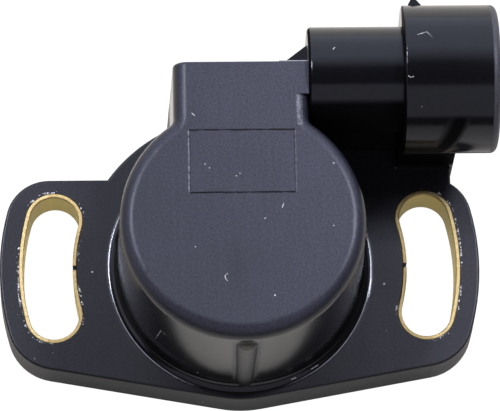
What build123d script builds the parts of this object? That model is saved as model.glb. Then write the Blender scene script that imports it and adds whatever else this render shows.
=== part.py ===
from build123d import *
from math import asin, atan2, cos, degrees, hypot, radians, sin, sqrt, tan
import os

# Throttle position sensor: a moulded housing with two adjusting slots and a side connector,
# and a sprung rotor inside that the throttle shaft turns.
# Millimetres. The origin is on the shaft axis, at the mounting face.
# +Z points to the cap's front face, +X to the connector's mouth, +Y to the tower.

# Flange plate
plate_t = 5.5
plate_edge_r = 0.3
plate_draft = 1.4
slot_r = 24.0  # middle of the adjusting slots, about the shaft
slot_w = 7.2
slot_half_angle = 14.8  # from the middle of a slot to the centre of its round end
lobe_side_rim = 2.4  # plastic outside a slot
lobe_end_rim = 1.77  # plastic above a slot's end
lobe_top_corner_r = 5.4
lobe_low_corner_r = 6.3
keel_angle = 10.2  # slope of the two lower edges
keel_rim = 0.62  # plastic below the cap's foot, at the keel
keel_corner_r = 14.0
shoulder_r = 20.1  # round shoulder beside the tower

# Slot liners, rolled from strip
liner_wall = 0.5
liner_slit = 0.5
liner_edge_r = 0.12
liner_fit = 0.02

# Cap
cap_h = 21.0  # above the plate's front
cap_base_r = 15.34
cap_draft = 1.4
cap_edge_r = 1.8
foot_cove_r = 1.36
foot_land = 0.1
rib_r = 1.5
rib_rise = 0.75  # above the wall, at the rib's top
rib_x = 0.3
rib_top_gap = 1.2  # under the cap's edge
rib_top_r = 0.6
insert_rim = 0.05  # flat face left beside the outline that a mould insert leaves
insert_h = 8.05
insert_y = 7.1
insert_line_w = 0.14
insert_line_depth = 0.12

# Tower, flush with the cap's face
tower_half_w = 8.25
tower_y = 20.4  # outer wall, at the plate's front
tower_corner_r = 0.4
tower_cap_blend_r = 1.2
neck_seat_len = 4.25  # length of the square edge beside the neck

# Connector: neck, shroud and the web that carries them
connector_inset = 1.3  # connector axis inside the tower's outer wall
neck_rise = 1.2  # crown above the tower's face
neck_r = 6.53
neck_len = 11.6
neck_sink = 0.05  # neck end inside the tower's wall
neck_edge_r = 0.5
shroud_r = 9.1
shroud_len = 11.55
shroud_mouth_r = 0.8
shroud_back_r = 0.2
socket_r = 7.3
socket_depth = 9.95
socket_key_w = 1.8
socket_key_h = 1.1
neck_web_half_w = 4.05
shroud_web_half_w = 6.3
shroud_web_len = 7.15
web_core_wall = 1.6
web_core_depth = 9.0
nose_start = 0.9  # locking nose, from the shroud's back end
nose_len = 1.9
nose_rise = 1.1
nose_w = 4.0
nose_steep_len = 0.6
gusset_along_tower = 4.3
gusset_along_neck = 3.35
gusset_t = 2.0

# Cup behind the cap
cap_front_wall = 2.2
cup_r = 12.6
cover_seat_r = 13.1
cover_seat_z = 1.6
spigot_r = 14.3
spigot_len = 2.0
spigot_chamfer = 0.3
seal_land = 0.3  # plastic left between the spigot and the groove
seal_groove_w = 1.6
seal_groove_depth = 1.5
seal_side_gap = 0.08
seal_corner = 0.4
part_fit = 0.03  # radial room between pieces that stay together

# Rear cover, bush, washer and shaft seal
cover_t = 2.2
cover_boss_r = 9.2
cover_boss_h = 2.4
bush_r = 7.2
bush_len = 3.1
bush_flange_r = 8.6
bush_flange_t = 0.6
washer_t = 0.4
washer_r = 8.4
washer_bore_gap = 0.3
shaft_seal_len = 1.3
shaft_seal_ring_t = 0.6
shaft_seal_lip_t = 0.5
shaft_seal_gap = 0.08

# Rotor
hub_r = 5.6
hub_sink = 0.6  # hub end inside the spigot
run_clearance = 0.05
end_play = 0.05
collar_r = 8.4
collar_t = 1.55
stem_r = 5.4
disc_r = 9.2
disc_t = 1.4
pilot_r = 2.4
pilot_depth = 1.2  # blind bearing hole in the cap's front wall
pilot_end_gap = 0.2
shaft_r = 4.0
shaft_clearance = 0.05
shaft_flat = 3.0  # from the axis to the shaft's flat
drive_depth = 11.0

# Stops and travel
travel_angle = 105.0
closed_angle = 200.0  # where the stop lug stands with the throttle closed
stop_play_angle = 2.5
lug_half_angle = 8.0
lug_r = 11.5
post_half_angle = 7.0
post_inner_r = 9.7
post_outer_r = 11.9
post_h = 6.6

# Return spring
spring_wire_r = 0.4
spring_mean_r = 7.0
spring_pitch = 2.0
spring_turns = 5
spring_gap = 0.2
spring_leg_gap = 0.1
spring_leg_reach = 10.9
spring_hole_gap = 0.15

# Board, tracks and wiper
board_t = 1.2
board_gap = 0.2
board_hole_r = 3.2
track_t = 0.1
track_r = 8.6
track_w = 1.2
collector_r = 6.0
track_start_angle = 205.0
track_end_angle = 335.0
collector_margin_angle = 10.0
track_pad_angle = 5.0  # angle of the conductor at a track's end
trace_w = 0.5
trace_r = 10.0
pad_r = 0.95
wiper_t = 0.22
wiper_arm_w = 0.9
wiper_arm_len = 4.2
wiper_base_len = 3.2
wiper_gap = 0.1
disc_to_board = 2.1
stake_r = 0.5
stake_head_r = 0.8
stake_head_t = 0.3
stake_fit = 0.05

# Leads
lead_w = 1.5
lead_t = 0.8
blade_pitch = 3.6
blade_len = 7.5
blade_tip = 0.3
lead_pitch = 2.0  # in the tower
lead_cover = 0.75  # plastic outside the outermost lead
lead_turn_pitch = 4.2
lead_bend_margin = 1.5
pin_r = 0.4
pin_y = 10.4
pin_gap = 0.1
solder_h = 0.6
solder_r = 0.8

# Drive clip
clip_t = 0.3
clip_w = 3.4
clip_room = 1.0
clip_side_gap = 0.2
clip_len = 8.0
clip_bulge = 0.25
clip_end_gap = 0.6

# Places worked out from the sizes above
face_z = plate_t + cap_h
foot_r = cap_base_r + foot_cove_r
keel_y = -(foot_r + keel_rim)
insert_w = 2 * (tower_half_w - cap_edge_r - insert_rim)
lobe_r = slot_r + slot_w / 2 + lobe_side_rim
lobe_top_y = slot_r * sin(radians(slot_half_angle)) + slot_w / 2 + lobe_end_rim
connector_y = tower_y - connector_inset
connector_z = face_z + neck_rise - neck_r
neck_end_x = tower_half_w + neck_len
mouth_x = neck_end_x + shroud_len
socket_floor_x = mouth_x - socket_depth
web_end_x = neck_end_x + shroud_web_len
cup_top_z = face_z - cap_front_wall
seal_inner_r = spigot_r + seal_land
seal_groove_r = seal_inner_r + seal_groove_w
board_z = cup_top_z - board_t
track_z = board_z - track_t
cover_back_z = cover_seat_z - cover_t
bush_top_z = cover_seat_z + cover_boss_h
washer_z = bush_top_z + bush_flange_t
collar_z = washer_z + washer_t + end_play
collar_top_z = collar_z + collar_t
disc_top_z = board_z - disc_to_board
disc_z = disc_top_z - disc_t
hub_end_z = hub_sink - spigot_len
pilot_hole_top_z = cup_top_z + pilot_depth
# Track left beyond each end of the wiper's travel
track_spare_angle = (track_end_angle - track_start_angle - travel_angle) / 2
wiper_angle = track_start_angle + track_spare_angle + degrees(asin(wiper_arm_len / track_r))
lead_rows = {"terminal_supply": 1, "terminal_signal": 0, "terminal_ground": -1}


def wall_r(z):
    """Radius of the cap's drafted wall at height z."""
    return cap_base_r - (z - plate_t) * tan(radians(cap_draft))


def block(x0, x1, y0, y1, z0, z1):
    """Box between two corners."""
    size = (x1 - x0, y1 - y0, z1 - z0)
    return Pos((x0 + x1) / 2, (y0 + y1) / 2, (z0 + z1) / 2) * Box(*size)


def post(radius, z0, z1, x=0.0, y=0.0):
    """Upright cylinder between two heights."""
    return Pos(x, y, (z0 + z1) / 2) * Cylinder(radius, z1 - z0)


def barrel(radius, x0, x1):
    """Cylinder along X on the connector's axis."""
    place = Pos((x0 + x1) / 2, connector_y, connector_z) * Rot(0, 90, 0)
    return place * Cylinder(radius, x1 - x0)


def turned(points):
    """Solid of revolution about Z from points of radius and height."""
    profile = make_face(Polyline(*[(r, 0, z) for r, z in points], close=True))
    return revolve(profile, axis=Axis.Z)


def sector(inner, outer, start, end, z0, z1):
    """Part of a ring between two angles, in degrees."""
    middle = (start + end) / 2
    arcs = [
        ThreePointArc(*[polar(r, a) for a in order])
        for r, order in ((outer, (start, middle, end)), (inner, (end, middle, start)))
    ]
    ends = [Line(arcs[0] @ 1, arcs[1] @ 0), Line(arcs[1] @ 1, arcs[0] @ 0)]
    face = make_face([arcs[0], ends[0], arcs[1], ends[1]])
    return Pos(0, 0, z0) * extrude(face, z1 - z0, dir=(0, 0, 1))


def polar(radius, angle):
    """Point on a circle about the shaft, angle in degrees from +X."""
    return (radius * cos(radians(angle)), radius * sin(radians(angle)))


def strip(points, width):
    """Flat strip of one width along straight runs, round at the inner corners."""
    face = Sketch()
    for (x0, y0), (x1, y1) in zip(points, points[1:]):
        turn = degrees(atan2(y1 - y0, x1 - x0))
        run = Rectangle(hypot(x1 - x0, y1 - y0), width)
        face += Pos((x0 + x1) / 2, (y0 + y1) / 2) * Rot(0, 0, turn) * run
    for x, y in points[1:-1]:
        face += Pos(x, y) * Circle(width / 2)
    return face


def kidney(width):
    """Slot outline on the +X side, curved about the shaft."""
    line = CenterArc((0, 0), slot_r, -slot_half_angle, 2 * slot_half_angle)
    return SlotArc(line, width)


def both_sides(shape):
    """A shape and its mirror image across the shaft."""
    return shape + mirror(shape, about=Plane.YZ)


def lobes_outline():
    """Two lobes with a shallow keel below, at the plate's front."""
    reach = 2 * lobe_r
    low_y = keel_y + reach * tan(radians(keel_angle))
    corners = [(-reach, lobe_top_y), (reach, lobe_top_y), (reach, low_y), (0, keel_y), (-reach, low_y)]
    lobes = make_face(Polyline(*corners, close=True)) & Circle(lobe_r)
    for radius, picked in (
        (lobe_top_corner_r, lambda v: v.Y > 0),
        (lobe_low_corner_r, lambda v: v.Y < 0 and abs(v.X) > slot_r / 2),
        (keel_corner_r, lambda v: v.Y < 0 and abs(v.X) < slot_r / 2),
    ):
        lobes = fillet(lobes.vertices().filter_by(picked), radius)
    return lobes


def shoulder_outline():
    """Round shoulder, and the foot under the connector's web."""
    shoulder = Circle(shoulder_r) & Pos(0, shoulder_r / 2) * Rectangle(2 * shoulder_r, shoulder_r)
    foot_end_x = web_end_x - plate_edge_r
    foot_x = (tower_half_w + foot_end_x) / 2
    foot = Pos(foot_x, connector_y / 2) * Rectangle(foot_end_x - tower_half_w, connector_y)
    return shoulder + foot


def flange_plate():
    """Plate with drafted lobes and its front edge just broken."""
    lobes = extrude(Pos(0, 0, plate_t) * lobes_outline(), plate_t, dir=(0, 0, -1), taper=-plate_draft)
    plate = lobes + extrude(shoulder_outline(), plate_t)
    front = plate.faces().sort_by(Axis.Z)[-1]
    return fillet(front.outer_wire().edges(), plate_edge_r)


def cap_and_tower():
    """Round cap and square tower as one drafted block with one flush face, and the cap's foot.

    The face's edge is well rounded, but stays sharp along the tower's outer wall.
    """
    tower_h = tower_y - tower_draft()
    square = Pos(0, tower_h / 2) * Rectangle(2 * tower_half_w, tower_h)
    outline = Circle(wall_r(face_z)) + square
    inner = outline.vertices().filter_by(lambda v: 0 < v.Y < tower_h - tower_cap_blend_r)
    outline = fillet(inner, tower_cap_blend_r)
    body = extrude(Pos(0, 0, face_z) * outline, face_z, dir=(0, 0, -1), taper=-cap_draft)
    rim = body.faces().sort_by(Axis.Z)[-1].outer_wire().edges().sort_by(Axis.Y)
    body = fillet(rim[:-1], cap_edge_r)
    upright = body.edges().filter_by(lambda e: e.center().Y > tower_h and e.bounding_box().size.Z > cap_h / 2)
    return fillet(upright, tower_corner_r) + foot_cove()


def tower_draft():
    """How far the drafted walls draw in from the plate's front to the face."""
    return cap_h * tan(radians(cap_draft))


def foot_cove():
    """Hollow fillet between the cap's wall and the plate."""
    low = plate_t / 2
    land_r = foot_r + foot_land
    points = [
        (0, low),
        (land_r, low),
        (land_r, plate_t),
        (cap_base_r, plate_t),
        (wall_r(face_z), face_z),
        (0, face_z),
    ]
    profile = make_face(Polyline(*[(r, 0, z) for r, z in points], close=True))
    corner = profile.vertices().sort_by_distance((cap_base_r, 0, plate_t))[0]
    cove_top = plate_t + 2 * foot_cove_r
    return revolve(fillet([corner], foot_cove_r), axis=Axis.Z) & post(land_r, low, cove_top)


def wall_rib():
    """Round rib up the cap's wall, on the keel side."""
    top_z = face_z - cap_edge_r - rib_top_gap
    axis_y = -(wall_r(top_z) + rib_rise - rib_r)
    rib = post(rib_r, plate_t, top_z, rib_x, axis_y)
    return fillet(rib.edges().filter_by(GeomType.CIRCLE).sort_by(Axis.Z)[-1:], rib_top_r)


def connector_barrel():
    """Neck and shroud in one turned piece, with their edges rounded."""
    start_x = tower_half_w - neck_sink
    points = [
        (start_x, 0),
        (start_x, neck_r),
        (neck_end_x, neck_r),
        (neck_end_x, shroud_r),
        (mouth_x, shroud_r),
        (mouth_x, 0),
    ]
    profile = make_face(Polyline(*points, close=True))
    for corner, radius in (
        ((start_x, neck_r), neck_edge_r),
        ((neck_end_x, shroud_r), shroud_back_r),
        ((mouth_x, shroud_r), shroud_mouth_r),
    ):
        profile = fillet(profile.vertices().sort_by_distance((*corner, 0))[:1], radius)
    return Pos(0, connector_y, connector_z) * revolve(profile, axis=Axis.X)


def connector_web():
    """Web from the plate's back up to the connector's axis, narrow at the neck and wide at the shroud."""
    start_x = tower_half_w - neck_sink
    neck = Pos((start_x + web_end_x) / 2, connector_y) * Rectangle(web_end_x - start_x, 2 * neck_web_half_w)
    shroud = Pos((neck_end_x + web_end_x) / 2, connector_y) * Rectangle(shroud_web_len, 2 * shroud_web_half_w)
    return extrude(neck + shroud, connector_z)


def neck_seat():
    """Square edge left on the tower's face beside the neck."""
    end_y = tower_y - tower_draft()
    start_x = tower_half_w - 2 * cap_edge_r
    return block(start_x, tower_half_w, end_y - neck_seat_len, end_y, connector_z, face_z)


def connector():
    """Connector with its web, locking nose and gusset, before the socket is cut."""
    return connector_barrel() + connector_web() + locking_nose() + gusset() + neck_seat()


def locking_nose():
    """Ramp on the shroud's outer side that a plug's latch snaps behind."""
    root_y = connector_y + sqrt(shroud_r**2 - (nose_w / 2) ** 2) - shroud_back_r
    top_y = connector_y + shroud_r + nose_rise
    start_x = neck_end_x + nose_start
    end_x = start_x + nose_len
    points = [
        (start_x, root_y),
        (start_x, connector_y + shroud_r),
        (start_x + nose_steep_len, top_y),
        (end_x, root_y),
    ]
    face = make_face(Polyline(*points, close=True))
    return Pos(0, 0, connector_z - nose_w / 2) * extrude(face, nose_w, dir=(0, 0, 1))


def gusset():
    """Three-cornered web between the tower's outer wall and the neck's end."""
    corner_x = tower_half_w
    corner_y = tower_y - (connector_z - plate_t) * tan(radians(cap_draft))
    root_y = corner_y - tower_corner_r
    points = [
        (corner_x - gusset_along_tower, root_y),
        (corner_x - gusset_along_tower, corner_y),
        (corner_x, corner_y + gusset_along_neck),
        (corner_x, root_y),
    ]
    face = make_face(Polyline(*points, close=True))
    return Pos(0, 0, connector_z - gusset_t / 2) * extrude(face, gusset_t, dir=(0, 0, 1))


def insert_outline():
    """Fine groove round the place of a mould insert on the face."""
    outer = Rectangle(insert_w, insert_h)
    inner = Rectangle(insert_w - 2 * insert_line_w, insert_h - 2 * insert_line_w)
    groove = extrude(outer - inner, insert_line_depth)
    return Pos(0, insert_y, face_z - insert_line_depth) * groove


def socket():
    """Round socket in the shroud, with one key rib left standing on its floor side."""
    bore = barrel(socket_r, socket_floor_x, mouth_x)
    key_top = connector_z - socket_r + socket_key_h
    half = socket_key_w / 2
    key_low = key_top - socket_r
    key_end = mouth_x - shroud_mouth_r
    key = block(socket_floor_x, key_end, connector_y - half, connector_y + half, key_low, key_top)
    return bore - key


def web_core():
    """Pockets that lighten the web from the back, with a rib across each pair."""
    neck_half = neck_web_half_w - web_core_wall
    shroud_half = shroud_web_half_w - web_core_wall
    neck_from = tower_half_w + 2 * web_core_wall
    neck_to = neck_end_x - web_core_wall / 2
    shroud_from = neck_end_x + web_core_wall / 2
    shroud_to = web_end_x - web_core_wall
    half_rib = web_core_wall / 2
    middle_x = (neck_from + neck_to) / 2
    low_y, high_y = connector_y - neck_half, connector_y + neck_half
    left = block(neck_from, middle_x - half_rib, low_y, high_y, 0, web_core_depth)
    right = block(middle_x + half_rib, neck_to, low_y, high_y, 0, web_core_depth)
    low_y, high_y = connector_y - shroud_half, connector_y + shroud_half
    low = block(shroud_from, shroud_to, low_y, connector_y - half_rib, 0, web_core_depth)
    high = block(shroud_from, shroud_to, connector_y + half_rib, high_y, 0, web_core_depth)
    return left + right + low + high


def cup():
    """Room for the rotor and the board, open at the back, with the cover's seat and the pilot hole."""
    points = [
        (0, -spigot_len),
        (cover_seat_r, -spigot_len),
        (cover_seat_r, cover_seat_z),
        (cup_r, cover_seat_z),
        (cup_r, cup_top_z),
        (pilot_r + run_clearance, cup_top_z),
        (pilot_r + run_clearance, pilot_hole_top_z),
        (0, pilot_hole_top_z),
    ]
    return turned(points)


def spigot():
    """Locating spigot behind the mounting face."""
    points = [
        (0, plate_t / 2),
        (0, -spigot_len),
        (spigot_r - spigot_chamfer, -spigot_len),
        (spigot_r, -spigot_len + spigot_chamfer),
        (spigot_r, plate_t / 2),
    ]
    return turned(points)


def seal_groove():
    """Groove for the flange seal, round the spigot's root."""
    return post(seal_groove_r, 0, seal_groove_depth) - post(seal_inner_r, 0, seal_groove_depth)


def housing(leads):
    """The whole moulding, with the leads moulded in."""
    body = flange_plate() + cap_and_tower() + wall_rib() + spigot() + connector()
    slots = both_sides(extrude(kidney(slot_w + 2 * liner_fit), plate_t))
    for cut in (slots, seal_groove(), cup(), socket(), web_core(), insert_outline()):
        body -= cut
    for lead in leads:
        body -= lead
    return body


def slot_liner():
    """Rolled strip round the +X slot, with its slit on the shaft's side."""
    ring = extrude(kidney(slot_w) - kidney(slot_w - 2 * liner_wall), plate_t)
    inner_x = slot_r - slot_w / 2
    half = liner_slit / 2
    ring -= block(inner_x - liner_wall, inner_x + 2 * liner_wall, -half, half, 0, plate_t)
    front = ring.faces().sort_by(Axis.Z)[-1]
    return fillet(front.outer_wire().edges(), liner_edge_r)


def lead_route(sign):
    """Middle line of a lead: blade, slant in the neck, run in the tower, turn to the board."""
    blade_y = connector_y + sign * blade_pitch
    tower_run_y = tower_y - lead_cover - lead_w / 2 - (1 - sign) * lead_pitch
    turn_x = -sign * lead_turn_pitch
    return [
        (socket_floor_x + blade_len, blade_y),
        (neck_end_x - lead_bend_margin, blade_y),
        (tower_half_w + lead_bend_margin, tower_run_y),
        (turn_x, tower_run_y),
        (turn_x, pin_y),
    ]


def lead(sign):
    """Flat stamped lead with a tapered blade tip and a round solder pin."""
    route = lead_route(sign)
    low = connector_z - lead_t / 2
    flat = extrude(strip(route, lead_w), lead_t)
    tip = flat.faces().sort_by(Axis.X)[-1]
    flat = Pos(0, 0, low) * chamfer(tip.edges(), blade_tip)
    pin_x, pin_at = route[-1]
    pin = post(pin_r, low, cup_top_z - pin_gap, pin_x, pin_at)
    pin_foot = post(lead_w / 2, low, low + lead_t, pin_x, pin_at)
    return flat + pin + pin_foot


def pin_places():
    """Where the three solder pins stand."""
    return [lead_route(sign)[-1] for sign in lead_rows.values()]


def resistor_board():
    """Round board with holes for the rotor's pilot and the leads."""
    board = post(cup_r - board_gap, board_z, cup_top_z) - post(board_hole_r, board_z, cup_top_z)
    for x, y in pin_places():
        board -= post(pin_r + stake_fit, board_z, cup_top_z, x, y)
    return board


def ring_track(radius, start, end):
    """Printed track on the board's rear side."""
    half = track_w / 2
    return sector(radius - half, radius + half, start, end, track_z, board_z)


def conductor_traces():
    """Printed conductors from the three pads to the ends of the two tracks."""
    supply, signal, ground = pin_places()
    track_in = track_r - track_w / 2
    collector_in = collector_r - track_w / 2
    rim = trace_r - trace_w / 2, trace_r + trace_w / 2
    traces = []
    for (x, y), track_tip, tip_side in ((supply, track_start_angle, -1), (ground, track_end_angle, 1)):
        pad_angle = degrees(atan2(y, x))
        tip = track_tip if tip_side < 0 else track_tip - 360
        rim_from, rim_to = sorted((pad_angle, tip))
        run = sector(*rim, rim_from, rim_to, track_z, board_z)
        far_from, far_to = sorted((tip, tip + tip_side * track_pad_angle))
        run += sector(track_in, rim[1], far_from, far_to, track_z, board_z)
        joint = strip([polar(trace_r, pad_angle), (x, y)], 2 * trace_w)
        run += Pos(0, 0, track_z) * extrude(joint, track_t)
        traces.append(run + post(pad_r, track_z, board_z, x, y))
    signal_angle = degrees(atan2(signal[1], signal[0]))
    collector_tip = track_start_angle - collector_margin_angle
    middle = sector(collector_in, collector_in + trace_w, signal_angle, collector_tip, track_z, board_z)
    joint = strip([(signal[0], collector_in), signal], trace_w)
    middle += Pos(0, 0, track_z) * extrude(joint, track_t)
    traces.append(middle + post(pad_r, track_z, board_z, *signal))
    holes = [post(pin_r + stake_fit, track_z, board_z, x, y) for x, y in pin_places()]
    return [trace - hole for trace, hole in zip(traces, (holes[0], holes[2], holes[1]))]


def solder_joint(x, y):
    """Cone of solder round a pin, on its pad."""
    cone = turned([(pin_r, track_z - solder_h), (solder_r, track_z), (pin_r, track_z)])
    return Pos(x, y, 0) * cone


def rear_cover():
    """Disc that closes the cup, with the bush's boss and two stop posts for the rotor's lug."""
    disc_edge = cover_seat_r - part_fit
    bore = bush_r + part_fit
    points = [
        (bore, cover_back_z),
        (disc_edge, cover_back_z),
        (disc_edge, cover_seat_z),
        (cover_boss_r, cover_seat_z),
        (cover_boss_r, bush_top_z),
        (bore, bush_top_z),
    ]
    cover = turned(points)
    offset = lug_half_angle + stop_play_angle + post_half_angle
    for middle in (closed_angle - offset, closed_angle + travel_angle + offset):
        start, end = middle - post_half_angle, middle + post_half_angle
        root = cover_seat_z - cover_t / 2
        cover += sector(post_inner_r, post_outer_r, start, end, root, cover_seat_z + post_h)
    return cover


def rotor_bush():
    """Flanged bush that the rotor's hub turns in."""
    bore = hub_r + run_clearance
    points = [
        (bore, bush_top_z - bush_len),
        (bush_r, bush_top_z - bush_len),
        (bush_r, bush_top_z),
        (bush_flange_r, bush_top_z),
        (bush_flange_r, washer_z),
        (bore, washer_z),
    ]
    return turned(points)


def thrust_washer():
    """Flat washer on the bush's flange."""
    inner = hub_r + washer_bore_gap
    top = washer_z + washer_t
    return turned([(inner, washer_z), (washer_r, washer_z), (washer_r, top), (inner, top)])


def shaft_seal():
    """Ring below the bush with a lip towards the hub."""
    top = bush_top_z - bush_len
    low = top - shaft_seal_len
    ring_in = bush_r - shaft_seal_ring_t
    lip_in = hub_r + shaft_seal_gap
    points = [
        (lip_in, low),
        (lip_in + shaft_seal_lip_t, low),
        (ring_in, top - shaft_seal_lip_t),
        (ring_in, low),
        (bush_r, low),
        (bush_r, top),
        (ring_in, top),
        (lip_in, low + shaft_seal_lip_t),
    ]
    return turned(points)


def flange_seal():
    """Rubber ring in the groove, flush with the mounting face."""
    inner = seal_inner_r + seal_side_gap
    outer = seal_groove_r - seal_side_gap
    profile = Pos((inner + outer) / 2, seal_groove_depth / 2) * Rectangle(outer - inner, seal_groove_depth)
    profile = chamfer(profile.vertices(), seal_corner)
    return revolve(Plane.XZ * profile, axis=Axis.Z)


def rotor():
    """Hub with the drive hole, collar with the stop lug, stem, wiper disc and pilot."""
    points = [
        (0, hub_end_z),
        (hub_r, hub_end_z),
        (hub_r, collar_z),
        (collar_r, collar_z),
        (collar_r, collar_top_z),
        (stem_r, collar_top_z),
        (stem_r, disc_z),
        (disc_r, disc_z),
        (disc_r, disc_top_z),
        (pilot_r, disc_top_z),
        (pilot_r, pilot_hole_top_z - pilot_end_gap),
        (0, pilot_hole_top_z - pilot_end_gap),
    ]
    body = turned(points)
    lug_from, lug_to = closed_angle - lug_half_angle, closed_angle + lug_half_angle
    body += sector(stem_r, lug_r, lug_from, lug_to, collar_z, collar_top_z)
    body -= drive_hole()
    hole_x, hole_y = polar(spring_mean_r, spring_top_angle())
    body -= post(spring_wire_r + spring_hole_gap, disc_z, disc_top_z, hole_x, hole_y)
    for x, y in stake_places():
        body += post(stake_r, disc_top_z, disc_top_z + wiper_t, x, y)
        body += post(stake_head_r, disc_top_z + wiper_t, disc_top_z + wiper_t + stake_head_t, x, y)
    return body


def drive_hole():
    """D-shaped blind hole for the throttle shaft, with the clip's room behind its flat."""
    top = hub_end_z + drive_depth
    round_hole = post(shaft_r + shaft_clearance, hub_end_z, top)
    flat_x = shaft_flat + shaft_clearance
    d_hole = round_hole & block(-hub_r, flat_x, -hub_r, hub_r, hub_end_z, top)
    half = clip_w / 2 + clip_side_gap
    room_top = hub_end_z + clip_end_gap + clip_len + clip_t
    room = block(0, flat_x + clip_room, -half, half, hub_end_z, room_top)
    return d_hole + room


def drive_clip():
    """Bent leaf behind the shaft's flat: a straight back, and a bowed front that presses on the shaft."""
    back_x = shaft_flat + shaft_clearance + clip_room
    low = hub_end_z + clip_end_gap
    top = low + clip_len
    front_x = shaft_flat - clip_bulge
    middle = (low + top) / 2
    points = [
        (back_x, low),
        (back_x, top),
        (back_x - 3 * clip_t, top),
        (front_x, middle),
        (back_x - 3 * clip_t, low),
        (back_x - 2 * clip_t, low),
        (front_x + clip_t, middle),
        (back_x - 2 * clip_t, top - clip_t),
        (back_x - clip_t, top - clip_t),
        (back_x - clip_t, low),
    ]
    face = make_face(Polyline(*[(x, 0, z) for x, z in points], close=True))
    return Pos(0, -clip_w / 2, 0) * extrude(face, clip_w, dir=(0, 1, 0))


def arm_line(radius):
    """Sideways place of a straight wiper arm whose tip lies on a track of this radius."""
    return sqrt(radius**2 - wiper_arm_len**2)


def stake_places():
    """Two stakes that hold the wiper's base to the disc."""
    turn = radians(wiper_angle)
    along = wiper_base_len / 2
    sides = [arm_line(radius) for radius in (collector_r, track_r)]
    return [(side * cos(turn) - along * sin(turn), side * sin(turn) + along * cos(turn)) for side in sides]


def wiper():
    """Sheet contact with two sprung arms, one to each track."""
    rise = track_z - wiper_gap - wiper_t - disc_top_z
    points = [(0, 0), (0, wiper_t), (-wiper_arm_len, rise + wiper_t), (-wiper_arm_len, rise)]
    arm = make_face(Polyline(*points, close=True))
    half = wiper_arm_w / 2
    inner, outer = arm_line(collector_r), arm_line(track_r)
    sheet = block(inner - half, outer + half, 0, wiper_base_len, disc_top_z, disc_top_z + wiper_t)
    upright = Plane(origin=(0, 0, disc_top_z), x_dir=(0, 1, 0), z_dir=(1, 0, 0))
    for side in (inner, outer):
        sheet += Pos(side - half, 0, 0) * extrude(upright * arm, wiper_arm_w, dir=(1, 0, 0))
    sheet = Rot(0, 0, wiper_angle) * sheet
    for x, y in stake_places():
        sheet -= post(stake_r + stake_fit, disc_top_z, disc_top_z + wiper_t, x, y)
    return sheet


def spring_start_angle():
    """Angle of the lower leg, against the closed stop's post."""
    post_middle = closed_angle - lug_half_angle - stop_play_angle - post_half_angle
    leg = degrees((spring_wire_r + spring_leg_gap) / post_inner_r)
    return post_middle - post_half_angle - leg


def spring_top_angle():
    """Angle of the upper leg, where the coil ends."""
    return spring_start_angle() + 360 * (spring_turns % 1)


def return_spring():
    """Torsion spring: a coil round the stem, a radial leg at the stop post, an upright leg in the disc."""
    low = collar_top_z + spring_gap + spring_wire_r
    rise = spring_turns * spring_pitch
    path = Helix(pitch=spring_pitch, height=rise, radius=spring_mean_r)
    section = Plane(path @ 0, z_dir=path % 0) * Circle(spring_wire_r)
    coil = sweep(section, path=path, is_frenet=True)
    coil = Pos(0, 0, low) * Rot(0, 0, spring_start_angle()) * coil
    leg_len = spring_leg_reach - spring_mean_r
    leg = Pos(spring_mean_r + leg_len / 2, 0, low) * Rot(0, 90, 0) * Cylinder(spring_wire_r, leg_len)
    start = Rot(0, 0, spring_start_angle())
    top_x, top_y = polar(spring_mean_r, spring_top_angle())
    tail = post(spring_wire_r, low + rise, disc_top_z, top_x, top_y)
    low_knee = start * Pos(spring_mean_r, 0, low) * Sphere(spring_wire_r)
    top_knee = Pos(top_x, top_y, low + rise) * Sphere(spring_wire_r)
    return coil + start * leg + tail + low_knee + top_knee


def write(name, shape):
    """One STEP file for one node."""
    export_step(shape, f"parts/{name}.step")


os.makedirs("parts", exist_ok=True)
leads = {name: lead(sign) for name, sign in lead_rows.items()}
liner = slot_liner()
collector_ends = track_start_angle - collector_margin_angle, track_end_angle + collector_margin_angle
nodes = {
    "housing": housing(leads.values()),
    "slot_liner_right": liner,
    "slot_liner_left": mirror(liner, about=Plane.YZ),
    **leads,
    "resistor_board": resistor_board(),
    "resistive_track": ring_track(track_r, track_start_angle, track_end_angle),
    "collector_track": ring_track(collector_r, *collector_ends),
    "conductor_traces": Compound(children=conductor_traces()),
    "solder_joints": Compound(children=[solder_joint(x, y) for x, y in pin_places()]),
    "rear_cover": rear_cover(),
    "rotor_bush": rotor_bush(),
    "thrust_washer": thrust_washer(),
    "shaft_seal": shaft_seal(),
    "flange_seal": flange_seal(),
    "return_spring": return_spring(),
    "rotor": rotor(),
    "wiper": wiper(),
    "drive_clip": drive_clip(),
}
for name, shape in nodes.items():
    write(name, shape)
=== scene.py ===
import math

import bmesh
import bpy
from mathutils import Matrix, Vector


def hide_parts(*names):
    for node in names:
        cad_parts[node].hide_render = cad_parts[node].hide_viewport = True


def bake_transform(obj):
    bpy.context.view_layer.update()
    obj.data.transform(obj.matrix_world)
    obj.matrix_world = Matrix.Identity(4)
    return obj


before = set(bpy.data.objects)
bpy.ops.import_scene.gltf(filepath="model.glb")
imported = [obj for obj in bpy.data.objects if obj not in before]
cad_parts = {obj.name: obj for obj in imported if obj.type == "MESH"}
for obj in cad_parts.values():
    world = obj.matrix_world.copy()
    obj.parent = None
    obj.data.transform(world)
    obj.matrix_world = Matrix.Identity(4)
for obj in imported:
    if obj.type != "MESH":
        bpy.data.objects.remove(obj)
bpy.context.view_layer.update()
MM = 0.001

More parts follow.
